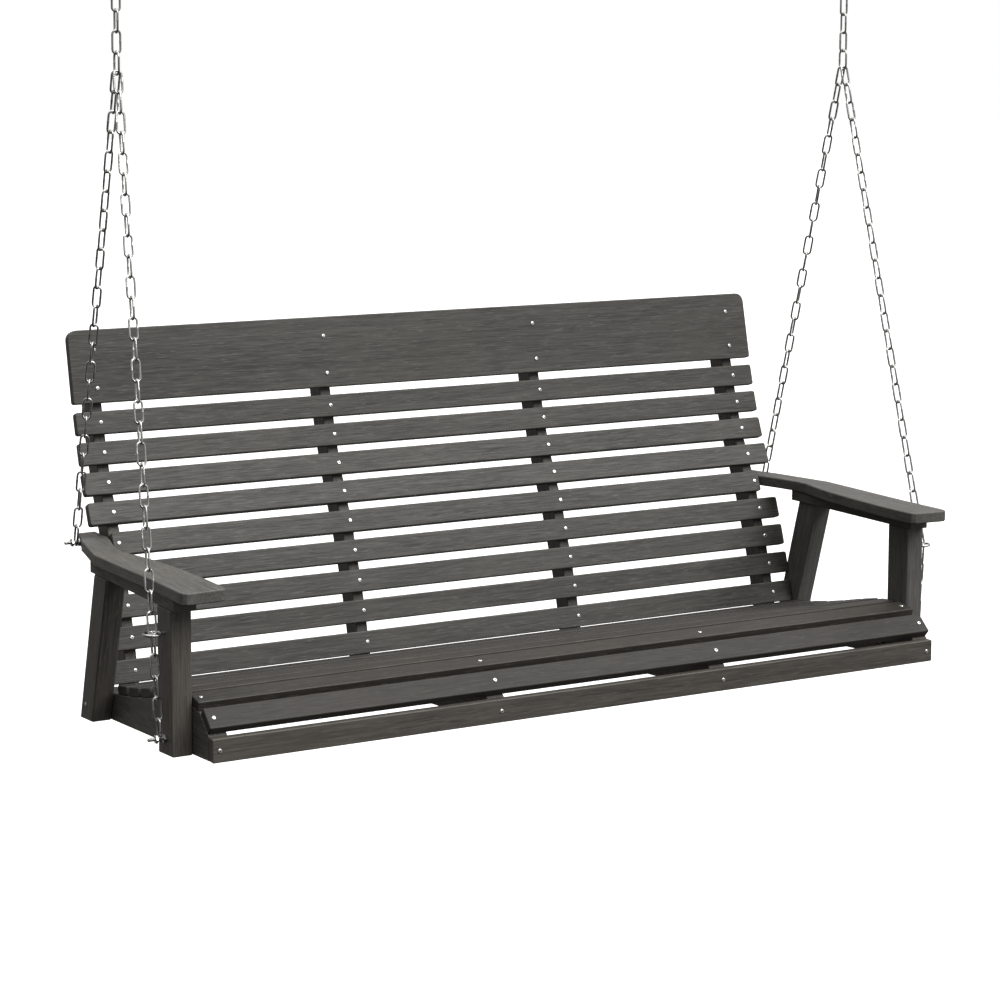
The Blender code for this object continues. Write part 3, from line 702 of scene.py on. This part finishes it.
@dataclass
class Chains:
    """The upper runs and the two legs of each side.

    Args:
        shape: the link.
        upper_links: links between the hanger and the yoke.
        rear_links: links down to the rear bolt.
        front_links: links to the guide eye and from it to the front bolt.
        yoke_width: width of the last upper link, which holds both legs.
        leg_spread: how far each leg starts from the joint line, along Y.
        leg_seat: how high the legs' first links sit in the yoke.
        bolt_seat: how far the last link goes past the bolt's axis.
        hook_lift: how far the first link reaches up into the hanger's ring.
    """

    shape: ChainShape = ChainShape()
    upper_links: int = 6
    rear_links: int = 25
    front_links: tuple[int, int] = (27, 5)
    yoke_width: float = 0.0200
    leg_spread: float = 0.0031
    leg_seat: float = 0.0048
    bolt_seat: float = 0.0032
    hook_lift: float = 0.0016

    def link(
        self, mesh: MeshBuilder, start: Vector, end: Vector, across: Vector, width: float
    ) -> None:
        """Adds one link between two contact points.

        Args:
            mesh: where it goes.
            start: upper contact point.
            end: lower contact point.
            across: direction of the link's width.
            width: width between wire middles.
        """
        along = (end - start).normalized()
        across = (across - across.dot(along) * along).normalized()
        radius = width / 2.0
        reach = self.shape.wire
        high = (end - start).length + reach
        path: list[tuple[float, float]] = []
        radii: list[float] = []
        for turn_start, middle in ((0.0, high - radius), (math.pi, radius - reach)):
            for step in range(self.shape.steps + 1):
                turn = turn_start + math.pi * step / self.shape.steps
                path.append((radius * math.cos(turn), middle + radius * math.sin(turn)))
                radii.append(self.shape.wire)
            if turn_start == 0.0:
                weld = self.shape.weld
                lower = radius - reach
                upper = high - radius
                for fraction, swell in ((0.40, 1.0), (0.46, weld), (0.54, weld), (0.60, 1.0)):
                    path.append((-radius, upper + (lower - upper) * fraction))
                    radii.append(self.shape.wire * swell)
        mesh.loop(path, start, across, along, radii, self.shape.sides)

    def run(
        self, name: str, node: str, body: Body, contacts: list[Vector], sign: float, twist: float,
        last_width: float, seed: int,
    ) -> None:
        """Makes one run of chain.

        Args:
            name: the piece's name.
            node: the CAD node it stands for.
            body: the body that carries it.
            contacts: the contact points, one more than the links.
            sign: sign of X of this side.
            twist: extra turn over the whole run, in degrees.
            last_width: width of the last link.
            seed: picks the metal's pattern.
        """
        mesh = MeshBuilder()
        total = len(contacts) - 1
        for i in range(total):
            along = (contacts[i + 1] - contacts[i]).normalized()
            level = (X_AXIS - X_AXIS.dot(along) * along).normalized()
            turn = math.radians(90.0 * i + twist * i / max(total - 1, 1))
            across = math.cos(turn) * level + math.sin(turn) * along.cross(level)
            width = last_width if i == total - 1 else self.shape.width
            self.link(mesh, contacts[i], contacts[i + 1], across, width)
        if sign < 0:
            mesh.points = [Vector((-p.x, p.y, p.z)) for p in mesh.points]
            mesh.faces = [tuple(reversed(f)) for f in mesh.faces]
        metal = metal_material(name + "_zinc", CHAIN_FINISH, seed)
        thing = mesh.piece(name, body, metal, WIRE_SHARP)
        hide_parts(node)
        LOG.info("chain %s with %d links", name, total)

    def build(self) -> None:
        """Makes the six runs."""
        wire = self.shape.wire
        hook = at(HANG_X, HANG_Y, HANGER_Z) + Z_AXIS * self.hook_lift
        yoke = at(HANG_X, HANG_Y, JOINT_Z)
        upper = spaced(hook, yoke, self.upper_links)
        eye, front_bolt, rear_bolt = at(*GUIDE_EYE), at(*FRONT_LINK), at(*REAR_LINK)
        lift = Z_AXIS * (self.leg_seat - wire)
        rear_start = yoke + lift + Y_AXIS * self.leg_spread
        front_start = yoke + lift - Y_AXIS * self.leg_spread
        rear_end = rear_bolt + (rear_bolt - rear_start).normalized() * self.bolt_seat
        front_end = front_bolt + (front_bolt - eye).normalized() * self.bolt_seat
        rear = spaced(rear_start, rear_end, self.rear_links)
        above, below = self.front_links
        front = spaced(front_start, eye, above)[:-1] + spaced(eye, front_end, below)
        width = self.shape.width
        for seed, side in enumerate(Side, start=70):
            word, sign = side.word, side.sign
            runs = (
                ("upper", Body.UPPER, upper, 0.0, self.yoke_width, seed),
                ("rear", Body.BENCH, rear, 90.0, width, seed + 5),
                ("front", Body.BENCH, front, 0.0, width, seed + 10),
            )
            for key, body, contacts, twist, last_width, pattern in runs:
                self.run(
                    f"links_{key}_{word}", f"chain_{key}_{word}", body, contacts, sign, twist,
                    last_width, pattern,
                )


def spaced(start: Vector, end: Vector, count: int) -> list[Vector]:
    """Evenly spaced points on a line.

    Args:
        start: first point.
        end: last point.
        count: gaps between points.

    Returns:
        The points, ends included.
    """
    return [start + (end - start) * i / count for i in range(count + 1)]


@dataclass(frozen=True)
class BoltPlace:
    """A chain bolt of the right side, in the bench frame.

    Args:
        key: front or rear.
        head_x: where the head meets the board.
        end_x: tip of the thread.
        y: place along Y.
        z: height.
        nuts_x: inner faces of the two nuts.
    """

    key: str
    head_x: float
    end_x: float
    y: float
    z: float
    nuts_x: tuple[float, float]


@dataclass
class Fasteners:
    """Chain bolts with rolled threads, chamfered nuts and guide eyes.

    Args:
        bolts: where the bolts are.
        shank: radius of the bolts.
        pitch: distance between thread crests.
        groove: depth of the thread.
        plain_share: share of the bolt's length that has no thread.
        nut_flats: width of a nut across its flats.
        nut_thick: thickness of a nut.
        chamfer: height of the chamfer on each face of a nut.
        eye_radius: radius of the guide eye's ring, to the wire's middle.
        eye_wire: radius of its wire.
    """

    bolts: tuple[BoltPlace, ...] = (
        BoltPlace("front", 0.6706, 0.7687, -0.400, -0.236, (0.7394, 0.7525)),
        BoltPlace("rear", 0.6490, 0.7400, 0.052, -0.002, (0.7126, 0.7243)),
    )
    shank: float = 0.0030
    pitch: float = 0.0011
    groove: float = 0.00038
    plain_share: float = 0.42
    nut_flats: float = 0.0130
    nut_thick: float = 0.0040
    chamfer: float = 0.00055
    eye_radius: float = 0.0141
    eye_wire: float = 0.0024

    def bolt(self, place: BoltPlace, side: Side, material: bpy.types.Material) -> None:
        """A round-headed bolt whose outer end is threaded.

        Args:
            place: where it is.
            side: left or right.
            material: its metal.
        """
        start, length = place.head_x, place.end_x - place.head_x
        profile = [
            (-0.0045, 0.0016), (-0.0043, 0.0036), (-0.0034, 0.0054), (-0.0018, 0.0065),
            (-0.0004, 0.0068), (0.0, 0.0066),
        ]
        here = length * self.plain_share
        profile += [(0.0001, self.shank), (here, self.shank)]
        while here < length - 0.0018:
            profile.append((here + self.pitch * 0.25, self.shank - self.groove))
            profile.append((here + self.pitch * 0.75, self.shank))
            here += self.pitch
        profile += [(length - 0.0008, self.shank - 0.0002), (length, self.shank - 0.0009)]
        mesh = MeshBuilder()
        origin = at(start, place.y, place.z)
        origin.x *= side.sign
        mesh.turned(profile, origin, X_AXIS * side.sign, 20)
        node = f"{place.key}_chain_bolt_{side.word}"
        thing = mesh.piece(node + "_threaded", Body.BENCH, material, TURNED_SHARP)
        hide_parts(node)

    def nut(self, place: BoltPlace, which: int, side: Side, material: bpy.types.Material) -> None:
        """A hexagon nut with chamfered corners and a countersunk bore.

        Args:
            place: the bolt that it is on.
            which: 0 for the inner nut, 1 for the outer one.
            side: left or right.
            material: its metal.
        """
        mesh = MeshBuilder()
        around = 36
        corner = self.nut_flats / math.sqrt(3.0)
        bore = self.shank + 0.00008
        sink = 0.0004
        thick, face_radius = self.nut_thick, self.nut_flats * 0.47
        rings = (
            (0.0, bore + sink, False), (0.0, face_radius, False), (self.chamfer, corner, True),
            (thick - self.chamfer, corner, True), (thick, face_radius, False),
            (thick, bore + sink, False), (thick - sink, bore, False), (sink, bore, False),
        )
        points = []
        for x, radius, hexed in rings:
            for step in range(around):
                turn = 2.0 * math.pi * step / around
                reach = radius
                if hexed:
                    local = (turn + math.pi / 6.0) % (math.pi / 3.0) - math.pi / 6.0
                    flat = self.nut_flats / 2.0 / math.cos(math.pi / 6.0 - abs(local))
                    reach = min(corner * 0.985, flat)
                y = place.y + reach * math.cos(turn)
                z = place.z + reach * math.sin(turn)
                point = at(place.nuts_x[which] + x, y, z)
                point.x *= side.sign
                points.append(point)
        faces = []
        for ring in range(len(rings)):
            after = (ring + 1) % len(rings)
            for i in range(around):
                j = (i + 1) % around
                low, high = ring * around, after * around
                face = (low + i, low + j, high + j, high + i)
                faces.append(face if side.sign > 0 else tuple(reversed(face)))
        mesh.add(points, faces)
        node = f"{place.key}_bolt_nut_{('inner', 'outer')[which]}_{side.word}"
        thing = mesh.piece(node + "_hexagon", Body.BENCH, material, NUT_SHARP)
        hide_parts(node)

    def eye(self, side: Side, material: bpy.types.Material) -> None:
        """A guide eye: a closed wire ring on a shank with a collar at the post.

        Args:
            side: left or right.
            material: its metal.
        """
        mesh = MeshBuilder()
        radius, wire, steps = self.eye_radius, self.eye_wire, 40
        middle = at(*GUIDE_EYE)
        middle.x *= side.sign
        turns = [2 * math.pi * i / steps for i in range(steps)]
        path = [(radius * math.cos(turn), radius * math.sin(turn)) for turn in turns]
        mesh.loop(path, middle, X_AXIS, Y_AXIS, [wire] * steps, 14)
        inward = X_AXIS * -side.sign
        start = middle + inward * (radius - 0.001)
        profile = (
            (0.0, wire * 0.96), (0.0038, wire * 0.98), (0.0044, wire * 1.02), (0.0295, wire),
        )
        mesh.turned(profile, start, inward, 16)
        node = f"guide_eye_bolt_{side.word}"
        thing = mesh.piece(node + "_ring", Body.BENCH, material, TURNED_SHARP)
        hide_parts(node)

    def build(self) -> None:
        """Makes the bolts, nuts and eyes of both sides."""
        for seed, side in enumerate(Side, start=120):
            metal = metal_material(f"bolt_zinc_{side.word}", BOLT_FINISH, seed)
            for place in self.bolts:
                self.bolt(place, side, metal)
                for which in (0, 1):
                    self.nut(place, which, side, metal)
            self.eye(side, metal)
            LOG.info("fasteners on the %s", side.word)


@dataclass(frozen=True)
class ScrewRow:
    """Screws in a row along X, all with one direction.

    Args:
        key: the row's name.
        xs: places along X.
        y: place along Y, on the board's face.
        z: height, on the board's face.
        normal: outward direction of the face.
    """

    key: str
    xs: tuple[float, ...]
    y: float
    z: float
    normal: tuple[float, float, float]


@dataclass
class Screws:
    """Stainless pan-head screws with a square recess.

    Args:
        radius: radius of a head.
        rise: how far a head stands proud.
        deep: depth of the recess.
        recess: half width of the recess, as a share of the head's radius.
        back_rows: (y, z) of each row on the back, from the top.
        top_slat: (y, z) of the top slat's upper and lower edges, which set its slope.
        back_xs: places along X on the back.
        seat_xs: places along X on the seat's front boards.
        nose_deg: how far the nose slat leans forward, in degrees.
    """

    radius: float = 0.0037
    rise: float = 0.0011
    deep: float = 0.0016
    recess: float = 0.30
    back_rows: tuple[tuple[float, float], ...] = (
        (0.1100, 0.3227), (0.0939, 0.2566), (0.0796, 0.1989), (0.0643, 0.1481), (0.0461, 0.0984),
        (0.0239, 0.0500), (0.0, 0.0), (-0.0194, -0.0512), (-0.0380, -0.1024), (-0.0545, -0.1545),
        (-0.0690, -0.2086),
    )
    top_slat: tuple[tuple[float, float], ...] = ((0.1185, 0.3575), (0.0890, 0.2319))
    back_xs: tuple[float, ...] = (-0.660, -0.2193, 0.2193, 0.660)
    seat_xs: tuple[float, ...] = (-0.6908, -0.1885, 0.2498, 0.6908)
    nose_deg: float = 40.9

    def rows(self) -> list[ScrewRow]:
        """Lists the rows.

        Returns:
            The rows of the back, the front seat slat, the nose slat and the apron.
        """
        made = []
        for number in range(len(self.back_rows)):
            above = Vector(self.back_rows[max(number - 1, 0)])
            below = Vector(self.back_rows[min(number + 1, len(self.back_rows) - 1)])
            if number < 2:
                above, below = (Vector(edge) for edge in self.top_slat)
            rise = (above - below).normalized()
            y, z = self.back_rows[number]
            made.append(ScrewRow(f"back_{number}", self.back_xs, y, z, (0.0, -rise.y, rise.x)))
        made.append(ScrewRow("seat_front", self.seat_xs, -0.4310, -0.1679, (0.0, -0.1652, 0.9863)))
        slope = math.radians(self.nose_deg)
        leaning = (0.0, -math.sin(slope), math.cos(slope))
        made.append(ScrewRow("nose", self.seat_xs, -0.4832, -0.1895, leaning))
        made.append(ScrewRow("apron", self.seat_xs, -0.5066, -0.2374, (0.0, -1.0, 0.0)))
        return made

    def head(self, mesh: MeshBuilder, point: Vector, normal: Vector, turn: float) -> None:
        """Adds one head.

        Args:
            mesh: where it goes.
            point: middle of the head on the board's face.
            normal: outward direction.
            turn: rotation of the recess, in radians.
        """
        normal = normal.normalized()
        side = normal.orthogonal().normalized()
        other = normal.cross(side)
        around = 16
        rings = (
            (-0.0006, self.radius), (self.rise * 0.25, self.radius),
            (self.rise * 0.7, self.radius * 0.88), (self.rise, self.radius * 0.62),
            (self.rise, 0.0), (self.rise - self.deep, 0.0),
        )
        points = []
        for height, reach in rings:
            for step in range(around):
                angle = 2.0 * math.pi * step / around
                length = reach
                if reach == 0.0:
                    local = (angle + math.pi / 4.0) % (math.pi / 2.0) - math.pi / 4.0
                    length = self.radius * self.recess / math.cos(local)
                angle += turn
                outward = math.cos(angle) * side + math.sin(angle) * other
                points.append(point + height * normal + length * outward)
        faces: list[tuple[int, ...]] = [tuple(reversed(range(around)))]
        for ring in range(len(rings) - 1):
            for i in range(around):
                j = (i + 1) % around
                low, high = ring * around, (ring + 1) * around
                faces.append((low + i, low + j, high + j, high + i))
        last = (len(rings) - 1) * around
        faces.append(tuple(range(last, last + around)))
        mesh.add(points, faces)

    def build(self) -> None:
        """Makes one piece for each row and one for each rear post's screw."""
        chance = random.Random(5)
        metal = metal_material("screw_stainless", SCREW_FINISH, 140)
        for row in self.rows():
            mesh = MeshBuilder()
            for x in row.xs:
                turn = chance.uniform(0.0, math.pi)
                self.head(mesh, at(x, row.y, row.z), Vector(row.normal), turn)
            thing = mesh.piece("screws_" + row.key, Body.BENCH, metal, HEAD_SHARP)
            LOG.info("screws %s", row.key)
        for side in Side:
            mesh = MeshBuilder()
            x, y, z = REAR_POST_SCREW
            self.head(mesh, at(side.sign * x, y, z), X_AXIS * side.sign, 0.6)
            thing = mesh.piece("screws_rear_post_" + side.word, Body.BENCH, metal, HEAD_SHARP)


@dataclass
class Hangers:
    """The two ceiling hangers: plate, stem, ring and four pan-head screws.

    Args:
        hole_x: screw places along X from the middle.
        hole_y: screw places along Y from the middle.
        screw: (distance below the plate, radius) along one screw.
    """

    hole_x: float = 0.033
    hole_y: float = 0.017
    screw: tuple[tuple[float, float], ...] = (
        (-0.0030, 0.0024), (-0.0001, 0.0024), (0.0, 0.0050), (0.0008, 0.0052), (0.0020, 0.0045),
        (0.0028, 0.0028), (0.0030, 0.0013),
    )

    def build(self) -> None:
        """Paints the CAD hangers and adds their screws."""
        for seed, side in enumerate(Side, start=160):
            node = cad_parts[f"ceiling_hanger_{side.word}"]
            node.data.materials.clear()
            steel = metal_material(f"hanger_steel_{side.word}", PLATE_FINISH, seed)
            node.data.materials.append(steel)
            mesh = MeshBuilder()
            for along in (-1.0, 1.0):
                for across in (-1.0, 1.0):
                    x = side.sign * HANG_X + along * self.hole_x
                    middle = Vector((x, across * self.hole_y, HANGER_PLATE_UNDERSIDE))
                    mesh.turned(self.screw, middle, -Z_AXIS, 20)
            metal = metal_material(f"hanger_screws_{side.word}", SCREW_FINISH, seed + 4)
            thing = mesh.piece(f"hanger_screws_{side.word}", Body.HANGERS, metal, HEAD_SHARP)
            LOG.info("hanger on the %s", side.word)


@dataclass(frozen=True)
class SoftLight:
    """A distant light as wide as a large softbox.

    Args:
        name: its name.
        towards: direction in which it lies.
        strength: irradiance on a face turned to it.
        spread_deg: how wide it looks, in degrees.
    """

    name: str
    towards: tuple[float, float, float]
    strength: float
    spread_deg: float


@dataclass
class Studio:
    """Camera, pale floor and soft light.

    Args:
        eye: where the camera is.
        azimuth: look direction from +Y towards +X, in degrees.
        pitch: how far it looks down, in degrees.
        roll: turn about the look direction, in degrees.
        sensor: width of the camera's sensor, in millimetres.
        focal: focal length as a share of the sensor's width.
        shift: vertical lens shift as a share of the frame.
        floor_z: height of the floor.
        floor_reach: half its width.
        ambient: brightness of the surroundings as a light.
        dome_lean: how that brightness grows along each axis.
        lights: the lamps.
    """

    eye: tuple[float, float, float] = (-2.25462, -4.20725 + HANG_SHIFT, 0.88702 - HANG_DROP)
    azimuth: float = 29.1050
    pitch: float = 6.6181
    roll: float = 0.1691
    sensor: float = 36.0
    focal: float = 2.63313
    shift: float = -0.17
    floor_z: float = -2.2
    floor_reach: float = 40.0
    ambient: float = 0.32
    dome_lean: tuple[float, float, float] = (0.16, 0.04, 0.34)
    lights: tuple[SoftLight, ...] = (
        SoftLight("key", (0.30, -0.60, 0.70), 2.7, 40.0),
        SoftLight("overhead", (0.10, 0.10, 1.0), 1.7, 80.0),
    )

    def camera(self) -> None:
        """Makes the camera."""
        data = bpy.data.cameras.new("camera")
        data.sensor_width = self.sensor
        data.lens = self.sensor * self.focal
        data.shift_y = self.shift
        data.clip_start, data.clip_end = 0.05, 100.0
        thing = bpy.data.objects.new("camera", data)
        bpy.context.scene.collection.objects.link(thing)
        turn, dip, roll = (math.radians(a) for a in (self.azimuth, self.pitch, self.roll))
        level = math.cos(dip)
        forward = Vector((math.sin(turn) * level, math.cos(turn) * level, -math.sin(dip)))
        right = Vector((math.cos(turn), -math.sin(turn), 0.0))
        up = right.cross(forward)
        rolled_right = right * math.cos(roll) + up * math.sin(roll)
        rolled_up = up * math.cos(roll) - right * math.sin(roll)
        basis = Matrix((rolled_right, rolled_up, -forward)).transposed().to_4x4()
        thing.matrix_world = Matrix.Translation(Vector(self.eye)) @ basis
        bpy.context.scene.camera = thing

    def floor(self) -> None:
        """Makes the pale floor."""
        work = bmesh.new()
        bmesh.ops.create_grid(work, x_segments=2, y_segments=2, size=self.floor_reach)
        mesh = bpy.data.meshes.new("floor")
        work.to_mesh(mesh)
        work.free()
        thing = bpy.data.objects.new("floor", mesh)
        thing.location = (0.0, 0.0, self.floor_z)
        bpy.context.scene.collection.objects.link(thing)
        write = NodeWriter("floor_paper")
        cloud = write.noise(write.place((0.7, 0.7, 0.7), (0.0, 0.0, 0.0)), 2.0, 0.5)
        paper = write.mix(cloud, (0.95, 0.95, 0.95), (0.96, 0.96, 0.96))
        write.join(paper, write.shader.inputs["Base Color"])
        write.shader.inputs["Roughness"].default_value = 0.9
        write.shader.inputs["Specular IOR Level"].default_value = 0.1
        thing.data.materials.append(write.material)
        thing.visible_diffuse = False
        thing.visible_glossy = False

    def world(self) -> None:
        """Makes the plain pale surroundings."""
        world = bpy.data.worlds.new("surroundings")
        bpy.context.scene.world = world
        world.use_nodes = True
        tree = world.node_tree
        nodes, links = tree.nodes, tree.links
        dim = nodes["Background"]
        dim.inputs["Color"].default_value = (1.0, 0.985, 0.96, 1.0)
        dome = nodes.new("ShaderNodeTexCoord")
        lean = nodes.new("ShaderNodeVectorMath")
        lean.operation = "DOT_PRODUCT"
        lean.inputs[1].default_value = self.dome_lean
        links.new(dome.outputs["Generated"], lean.inputs[0])
        level = nodes.new("ShaderNodeMath")
        level.operation = "ADD"
        level.use_clamp = True
        level.inputs[1].default_value = self.ambient
        links.new(lean.outputs["Value"], level.inputs[0])
        links.new(level.outputs[0], dim.inputs["Strength"])
        white = nodes.new("ShaderNodeBackground")
        white.inputs["Color"].default_value = (1.0, 1.0, 1.0, 1.0)
        path = nodes.new("ShaderNodeLightPath")
        choice = nodes.new("ShaderNodeMixShader")
        links.new(path.outputs["Is Camera Ray"], choice.inputs[0])
        links.new(dim.outputs[0], choice.inputs[1])
        links.new(white.outputs[0], choice.inputs[2])
        links.new(choice.outputs[0], nodes["World Output"].inputs["Surface"])

    def lamp(self, spec: SoftLight) -> None:
        """Makes one light.

        Args:
            spec: what and where it is.
        """
        data = bpy.data.lights.new(spec.name, "SUN")
        data.energy = spec.strength
        data.angle = math.radians(spec.spread_deg)
        thing = bpy.data.objects.new(spec.name, data)
        thing.rotation_euler = Vector(spec.towards).to_track_quat("Z", "Y").to_euler()
        bpy.context.scene.collection.objects.link(thing)

    def build(self) -> None:
        """Sets up the scene round the object."""
        scene = bpy.context.scene
        scene.view_settings.view_transform = "Standard"
        scene.view_settings.look = "None"
        scene.view_settings.exposure = 0.0
        self.camera()
        self.floor()
        self.world()
        for spec in self.lights:
            self.lamp(spec)
        LOG.info("studio with %d lights", len(self.lights))


def main() -> None:
    """Builds the whole scene, logging each piece."""
    logging.basicConfig(level=logging.INFO, format="%(name)s: %(message)s")
    for assembly in (Studio(), Boards(), Chains(), Fasteners(), Screws(), Hangers()):
        LOG.info("building %s", type(assembly).__name__)
        assembly.build()


if __name__ == "__main__":
    main()
